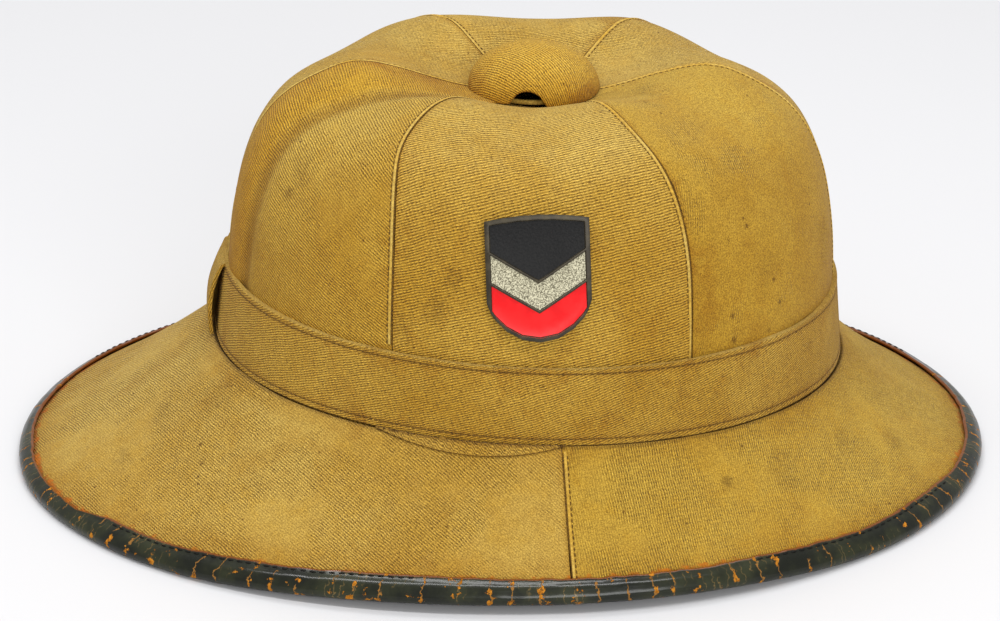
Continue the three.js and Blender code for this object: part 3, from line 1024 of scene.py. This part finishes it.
# %% Leather stitches
black_thread = Finish("black_thread", {"Roughness": 0.6, "Specular IOR Level": 0.2})
twist = black_thread.grain(black_thread.place(), 2600, 2)
black_thread.feed("Base Color", black_thread.blend(twist, paint(5, 5, 4), paint(16, 15, 11)))
lip_line = smoothed(sorted(members(edge, "lip"), key=around), 6, closed=True)
STITCH_OUT = 2.5 * MM
EDGE_STEP, EDGE_STITCH, EDGE_THREAD = 3.3 * MM, 2.3 * MM, 0.75 * MM
# From and to, in degrees round the brim.
SEWN = {
    "far_rear": (-266, -206),
    "near_rear": (-146, -106),
    "near_front": (-66, -27),
    "far_front": (26, 92),
}
for name, (first, last) in SEWN.items():
    sewn = []
    for spot in lip_line:
        if first < math.degrees(around(spot)) < last:
            above = spot + outward_at(spot) * STITCH_OUT + Vector((0, 0, 2 * MM))
            sewn.append(edge.closest_point_on_mesh(above)[1])
    row = stitches(f"leather_thread_{name}", smoothed(sewn), EDGE_STEP, EDGE_STITCH, EDGE_THREAD)
    settle(row, "leather_edge", [black_thread])

# %% [markdown]
# ## Band
#
# A folded strip of the same cloth goes round the foot of the crown. Its hems are stitched close to both
# edges. The band's edges are flat ovals, so a flat cut across the strip gives each hem line exactly: three
# cuts side by side, and the middle one pressed in, make the groove that the thread lies in.

# %% Band
band = copy_of("hat_band", "hat_band_cloth")
group(band, "outside", "FACE", faces_out)
HEM, GROOVE, PRESSED = 1.9 * MM, 0.4 * MM, 0.35 * MM
HEM_STEP, HEM_STITCH, HEM_THREAD = 1.9 * MM, 1.5 * MM, 0.42 * MM
RING_POINTS = 128


def edge_plane(piece, top):
    """The flat plane through the top or bottom edge of the band, as a height and two slopes."""
    ring = sorted((v.co for v in piece.data.vertices), key=lambda p: p.z + 0.042 * p.x)
    ring = ring[-RING_POINTS:] if top else ring[:RING_POINTS]
    sums = np.array([(1, p.x, p.y) for p in ring])
    return np.linalg.lstsq(sums, np.array([p.z for p in ring]), rcond=None)[0]


hem_planes = {}
for side, top, step in (("top", True, -1), ("foot", False, 1)):
    height, slope_x, slope_y = edge_plane(band, top)
    hem_planes[side] = (height + step * HEM, slope_x, slope_y)
for side, (height, slope_x, slope_y) in hem_planes.items():
    for shift in (-GROOVE, 0, GROOVE):
        alone(band)
        bpy.ops.object.mode_set(mode="EDIT")
        bpy.ops.mesh.select_all(action="SELECT")
        bpy.ops.mesh.bisect(plane_co=(0, 0, height + shift), plane_no=(-slope_x, -slope_y, 1))
        bpy.ops.object.mode_set(mode="OBJECT")
    on_line = lambda v: abs(v.co.z - height - slope_x * v.co.x - slope_y * v.co.y) < 0.03 * MM
    outer = {tuple(p) for p in members(band, "outside")}
    group(band, f"hem_{side}", "VERT", lambda v: on_line(v) and tuple(v.co) in outer)
    print("hem", side, len(members(band, f"hem_{side}")))


# %% Band hems
def at_rear(e):
    """The edges of the band's rear end, where its pattern is cut open."""
    ends = [band.data.vertices[i].co for i in e.vertices]
    return all(abs(p.y) < 0.01 * MM and p.x < 0 for p in ends)


hem_cage = {tuple(p) for side in hem_planes for p in members(band, f"hem_{side}")}
lay_cloth(band, faces_out, (20 * MM, -95 * MM, 58 * MM), at_rear)
push(band, lambda p: -PRESSED if tuple(p) in hem_cage else 0.0)
soften(band, levels=2, crease=0.7)
push(band, lambda p: ripple(p) + 0.2 * MM * noise.noise(p / (21 * MM) + Vector((9, 0, 0))))
hem_lines = {}
for side in hem_planes:
    hem_lines[side] = sorted(members(band, f"hem_{side}"), key=lambda p: math.atan2(p.y, p.x - AXIS.x))
    row = stitches(f"band_thread_{side}", hem_lines[side], HEM_STEP, HEM_STITCH, HEM_THREAD, closed=True)
    settle(row, "band_cloth", [thread_and_shadow_cords])


def hem_groove(cloth, place, colour):
    """The shadowed groove under the hem's stitches."""
    return cloth.soil(cloth.ease(cloth.mark("seam"), 0.75 * MM, 0.2 * MM) * 0.4, colour, DARK_SPECK_AND_SHADE)


mark_distance(band, "seam", hem_lines.values())
mark_dust_and_top_light(band)
BAND_RIB = 0.83 * MM
settle(band, "band_cloth", [twill("twill_band", 18, 0.2, [hem_groove], BAND_RIB)], "hat_band")

# %% [markdown]
# ## Keeper and underlap
#
# At the back a loop of the same cloth holds the band's end, bowed out over it and turned in over its top.
# Its far side is drawn tight to the band, and its top settles on the band's edge. On the near side a thin
# crescent of cloth shows under the band, where an end was tucked in; it is pressed flat on the brim. Both
# are soft copies of their solids. Thin dark cords under the band's foot and along the crescent's edge are
# painted shadow lines.

# %% Keeper
KEEPER_CLOTH, KEEPER_SETTLES = 1.5 * MM, 2.4 * MM
keeper = copy_of("band_keeper", "band_keeper_cloth")
group(keeper, "outside", "FACE", faces_out)
lay_cloth(keeper, faces_out, (-108 * MM, -5 * MM, 58 * MM))
soften(keeper, levels=3, crease=0.6)
tucked = []
for v, outer in zip(keeper.data.vertices, shares(keeper, "outside")):
    _, spot, _, _ = band.closest_point_on_mesh(v.co)
    gap = (v.co - spot).length - KEEPER_CLOTH * outer
    far = min(1.0, max(0.0, (v.co.y + 1 * MM) / (12 * MM)))
    draw = far * far * (3 - 2 * far) * max(0.0, gap - 0.3 * MM)
    tucked.append(v.co + (spot - v.co).normalized() * draw)
low, high = min(p.z for p in tucked), max(p.z for p in tucked)
for spot in tucked:
    share = min(1.0, max(0.0, ((spot.z - low) / (high - low) - 0.5) / 0.5))
    spot.z -= KEEPER_SETTLES * share * share * (3 - 2 * share)
reshape(keeper, tucked)
mark_distance(keeper, "seam", hem_lines.values())
mark_dust_and_top_light(keeper)
settle(keeper, "band_cloth", [twill("twill_keeper", 80, 0.3, (), BAND_RIB)], "band_keeper")

# %% Underlap
foot_line = [p - Vector((0, 0, HEM)) for p in hem_lines["foot"]]
# A thin dark cord just under the band's foot: a painted shadow line in the gap.
FOOT_SHADOW_DROP, FOOT_SHADOW_RADIUS = Vector((0, 0, 0.2 * MM)), 0.3 * MM
foot_shadow_cord = welt("band_foot_shadow_cord", [p - FOOT_SHADOW_DROP for p in foot_line + foot_line[:1]], FOOT_SHADOW_RADIUS)
settle(foot_shadow_cord, "band_cloth", [thread_and_shadow_cords])


def foot_dirt_and_shade(cloth, place, colour):
    """Painted shade under the band's lower edge, with dirt gathered there."""
    foot = cloth.mark("foot")
    colour = cloth.soil(cloth.ease(foot, 10 * MM, 2 * MM) * 0.35, colour, BROWN_STAIN_AND_SHADE)
    return cloth.soil(cloth.ease(foot, 2.6 * MM, 1.6 * MM) * 0.45, colour, DARK_SPECK_AND_SHADE)


underlap = copy_of("band_underlap", "band_underlap_cloth")
lay_cloth(underlap, faces_up, (-20 * MM, -95 * MM, 45 * MM))
soften(underlap, levels=3, crease=0.6)
foot_finder = nearest([foot_line])
LAP_SHOWN, LAP_CLOTH, LAP_SHADOW_RADIUS = 0.6, 0.9 * MM, 0.24 * MM


def on_brim(spot):
    """The closest point of the brim, and its normal."""
    found = [half.closest_point_on_mesh(spot)[1:3] for half in brims.values()]
    return min(found, key=lambda hit: (hit[0] - spot).length)


pressed = []
for v in underlap.data.vertices:
    height = (v.co - on_brim(v.co)[0]).length
    foot = foot_finder.find(v.co)[0]
    level = Vector((v.co.x - foot.x, v.co.y - foot.y, 0))
    place, normal = on_brim(v.co - level * (1 - LAP_SHOWN))
    pressed.append(place + normal * min(height, LAP_CLOTH))
reshape(underlap, pressed)
rim_by_turn = {}
for v in underlap.data.vertices:
    step = round(math.degrees(math.atan2(v.co.y, v.co.x - AXIS.x)) * 1.5)
    if step not in rim_by_turn or outwards(v.co) > outwards(rim_by_turn[step]):
        rim_by_turn[step] = v.co.copy()
# A thin dark cord along the crescent's outer edge: a painted shadow line.
lap_edge = smoothed([on_brim(rim_by_turn[step])[0] for step in sorted(rim_by_turn)])
lap_shadow_cord = welt("band_underlap_shadow_cord", lap_edge, LAP_SHADOW_RADIUS)
settle(lap_shadow_cord, "band_cloth", [thread_and_shadow_cords])
# On the crescent the seam darkening follows the band's foot: painted shade under the band.
mark_distance(underlap, "seam", [foot_line])
mark_distance(underlap, "foot", [foot_line])
mark_dust_and_top_light(underlap)
settle(underlap, "band_cloth", [twill("twill_underlap", -44, 0.3, [foot_dirt_and_shade])], "band_underlap")

# %% [markdown]
# ## Vent cap
#
# A small dome of cloth covers the air hole in the top, and an arched notch in its rim lets the air out. A
# copy of the solid would be too coarse for the arch, so it starts as a sphere cut in half. Each point is
# then moved out to the dome's own rim and height, which are read from the solid, and the wall is given
# its thickness.

# %% Vent cap
CAP_X, CAP_RADIUS, CAP_WALL = 11.4 * MM, 22.9 * MM, 2 * MM
NOTCH_AT, NOTCH_HALF, NOTCH_RISE = math.radians(262.4), math.radians(15), 5.2 * MM
cap_solid, _ = points_of(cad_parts["vent_cap"])
cap_top = cap_solid[:, 2].max()
rim_solid = cap_solid[np.hypot(cap_solid[:, 0] - CAP_X, cap_solid[:, 1]) > CAP_RADIUS - 0.1 * MM]
rim_turn = np.arctan2(rim_solid[:, 1], rim_solid[:, 0] - CAP_X)


def dome(point):
    """A point of the half sphere, moved to its place on the cap."""
    turn = math.atan2(point.y, point.x) + NOTCH_AT
    rim = np.interp(turn, rim_turn, rim_solid[:, 2], period=2 * math.pi)
    off = abs((turn - NOTCH_AT + math.pi) % (2 * math.pi) - math.pi) / NOTCH_HALF
    arch = NOTCH_RISE * math.sqrt(1 - off * off) if off < 1 else 0.0
    start = math.asin(arch / (cap_top - rim))
    share = math.asin(min(1.0, max(0.0, point.z))) / (math.pi / 2)
    rise = start + share * (math.pi / 2 - start)
    reach = CAP_RADIUS * math.cos(rise)
    height = rim + (cap_top - rim) * math.sin(rise)
    return Vector((CAP_X + reach * math.cos(turn), reach * math.sin(turn), height))


def cap_out(face):
    return face.normal.z > -0.5


bpy.ops.object.select_all(action="DESELECT")
bpy.ops.mesh.primitive_uv_sphere_add(segments=128, ring_count=36, radius=1)
cap = bpy.context.object
cap.name = cap.data.name = "vent_cap_cloth"
bpy.ops.object.mode_set(mode="EDIT")
bpy.ops.mesh.select_all(action="SELECT")
bpy.ops.mesh.bisect(plane_co=(0, 0, 0), plane_no=(0, 0, 1), clear_inner=True)
bpy.ops.object.mode_set(mode="OBJECT")
reshape(cap, [dome(v.co) for v in cap.data.vertices])
lay_cloth(cap, cap_out, (0, -12 * MM, 147 * MM))
work(cap, "SOLIDIFY", thickness=CAP_WALL, offset=-1)
work(cap, "BEVEL", width=0.6 * MM, segments=3, limit_method="ANGLE", angle_limit=math.radians(50))
bpy.ops.object.shade_smooth_by_angle(angle=math.radians(45))
push(cap, lambda p: 0.2 * MM * noise.noise(p / (9 * MM)))
rim_line = [Vector(p) for p in rim_solid]
mark_distance(cap, "seam", [rim_line])
mark_dust_and_top_light(cap)
settle(cap, "cap_cloth", [twill("twill_cap", -4, 0.3, (), RIB, (1.06, 0.97, 0.55, 1))], "vent_cap")

# %% [markdown]
# Through the notch the edge of the air hole shows, bound with a narrow roll of cloth. It is a plain ring.

# %% Vent ring
RING_RADIUS, RING_ROLL, RING_HEIGHT = 17 * MM, 0.9 * MM, 136.1 * MM
bpy.ops.object.select_all(action="DESELECT")
bpy.ops.mesh.primitive_torus_add(
    major_radius=RING_RADIUS,
    minor_radius=RING_ROLL,
    major_segments=64,
    minor_segments=8,
    location=(CAP_X, 0, RING_HEIGHT),
)
ring = bpy.context.object
ring.name = ring.data.name = "vent_ring_cloth"
bpy.ops.object.transform_apply()
bpy.ops.object.shade_smooth()
settle(ring, "cap_cloth", [welt_cloth])

# %% [markdown]
# ## Badge
#
# A small stamped metal shield is pinned to the near panel: a raised dark frame, two slanting ribs, and
# three sunk fields in enamel. The copy keeps its crisp steps, with a fine bevel, and each field's faces
# take their own finish by where they lie on the shield.

# %% Badge finishes
badge = copy_of("badge_shield", "badge_shield_metal")
work(badge, "BEVEL", width=0.12 * MM, segments=2, limit_method="ANGLE", angle_limit=math.radians(35))
bpy.ops.object.shade_smooth_by_angle(angle=math.radians(35))

bronze = Finish("dark_bronze", {"Metallic": 0.5, "Specular IOR Level": 0.5})
where = bronze.place()
worn = bronze.grain(where, 260, 4, 0.6)
bronze.feed("Base Color", bronze.blend(bronze.ease(worn, 0.4, 0.75), paint(48, 42, 30), paint(72, 64, 45)))
bronze.feed("Roughness", 0.3 + worn * 0.25)


def enamel(name, low, high, pebble, fleck_size, depth, rough):
    """Thick enamel with a pebbled skin."""
    coat = Finish(name, {"Roughness": rough, "Specular IOR Level": 0.25})
    spot = coat.place()
    bumps = coat.node("ShaderNodeTexVoronoi", {"feature": "SMOOTH_F1"}, {"Vector": spot, "Scale": pebble})
    fleck = coat.grain(spot, fleck_size, 3, 0.6)
    coat.feed("Base Color", coat.blend(coat.ease(fleck, 0.40, 0.60), low, high))
    coat.feed("Normal", coat.relief(1 - bumps, depth))
    return coat


black = enamel("black_enamel", paint(6, 6, 6), paint(20, 19, 18), 1500, 1900, 0.12 * MM, 0.6)
silver = enamel("silver_enamel", paint(100, 95, 74), paint(206, 200, 170), 1900, 2300, 0.13 * MM, 0.45)
red = enamel("red_enamel", paint(222, 10, 16), paint(244, 24, 26), 400, 120, 0.02 * MM, 0.3)


# %% Badge fields
# The shield's own sizes in millimetres, as in its solid: lean, half width, half height, and the frame.
LEAN, LEAN_SHARE = math.radians(1.6), 0.98
HALF_WIDE, HALF_HIGH, FOOT_RISE, TOP_RISE = 17, 19.9, 13.4, 1.6
FIELD_HALF, FRAME, RIB_SLOPE = 15.3, 1.6, 0.62


def field(face):
    """Which finish a face of the shield takes, from its place on it."""
    x = (face.center.x - BADGE_AT.x) / MM
    y = (face.center.z - BADGE_AT.z) / (LEAN_SHARE * MM)
    x, y = x * math.cos(LEAN) + y * math.sin(LEAN), y * math.cos(LEAN) - x * math.sin(LEAN)
    t = min(1, abs(x) / HALF_WIDE)
    foot = -HALF_HIGH + FOOT_RISE * (1 - math.sqrt(1 - t * t) + t**2.2) / 2
    top = HALF_HIGH + TOP_RISE * (1 - t * t)
    low = y - RIB_SLOPE * abs(x)
    inside = abs(x) < FIELD_HALF and foot + FRAME < y < top - FRAME and face.normal.y < -0.6
    on_rib = -10.3 < low < -9.1 or -0.3 < low < 0.9
    if not inside or on_rib:
        return 0
    return 3 if low < -10 else 2 if low < 0 else 1


for face in badge.data.polygons:
    face.material_index = field(face)
settle(badge, "badge", [bronze, black, silver, red], "badge_shield")

# %% [markdown]
# ## Stains on the brim
#
# With the leather and the band in place, the brim's cloth can take their marks. How far each point lies
# from the leather's frayed edge is stored on each half, and a ragged rust line follows it. The same is
# done for the dirt and painted shade under the band. A few grey smudges lie where hands and tables left
# them.

# %% Brim cloth
RUST, RUST_DARK = paint(178, 98, 16), paint(100, 50, 8)
BRIM_RIB = 0.86 * MM


def rust_line(cloth, place, colour):
    """Rust-coloured stain along the frayed edge of the leather, strongest where the strip is torn."""
    rim, torn = cloth.mark("rim"), cloth.mark("torn")
    grit = cloth.grain(place, 260, 5, 0.66)
    browned = cloth.ease(rim + (grit - 0.5) * (9 * MM), 13 * MM, 1 * MM)
    colour = cloth.soil(browned * 0.55, colour, BROWN_STAIN_AND_SHADE)
    reach = rim + (grit - 0.5) * (6 * MM) - torn * (0.8 * MM)
    stain = cloth.ease(reach, 2.2 * MM, 0.9 * MM) * (0.65 + torn * 0.3)
    return cloth.blend(stain, colour, cloth.blend(cloth.ease(grit, 0.35, 0.6), RUST, RUST_DARK))


BRIM_TOUCHES = [
    rust_line,
    foot_dirt_and_shade,
    smudge(72.9, -92.6, 27.8, 3.6, 0.95),
    smudge(117, -59.3, 26.1, 6, 0.5),
    smudge(136.3, -44.6, 19.2, 6, 0.42),
    smudge(92, -80, 26, 9, 0.34),
    smudge(-119.5, -37.8, 30.5, 7, 0.32),
    smudge(-133.3, -47.4, 18.7, 6, 0.3),
    smudge(-105.3, -61.6, 29.3, 1.2, 0.9, DRIP),
    smudge(-104.7, -68.8, 25.7, 1.2, 0.8, DRIP),
    smudge(-98, -46, 38, 10, 0.3),
    smudge(-96, -43, 44, 6, 0.4, BROWN_STAIN_AND_SHADE),
]
# Slant of the ribs in degrees, how felted they are, and a tint.
BRIM_CUT = {"front": (-86, 0.6, GOLDEN), "rear": (-43, 0.55, PLAIN)}
lip_points = members(edge, "lip")


def root_crease(point):
    """A shallow valley in the brim beside the band's foot, near the keeper."""
    apart = foot_finder.find(point)[2] / MM
    turn = math.degrees(math.atan2(point.y, point.x - AXIS.x))
    return -1.0 * MM * hill(apart - 6.5, 2.6) * hill(turn + 155, 14)


push(brims["rear"], root_crease)
for name, half in brims.items():
    mark_distance(half, "seam", [seams["brim_right"], seams["brim_left"]])
    mark_distance(half, "rim", [lip_points])
    store(half, "torn", [min(1.0, max(0.0, look_up(TORN, around(v.co)) / 3)) for v in half.data.vertices])
    mark_distance(half, "foot", [foot_line])
    mark_dust_and_top_light(half)
    slant, felted, tint = BRIM_CUT[name]
    cloth = twill(f"twill_brim_{name}", slant, felted, BRIM_TOUCHES, BRIM_RIB, tint)
    settle(half, "cloth", [cloth], f"brim_{name}")
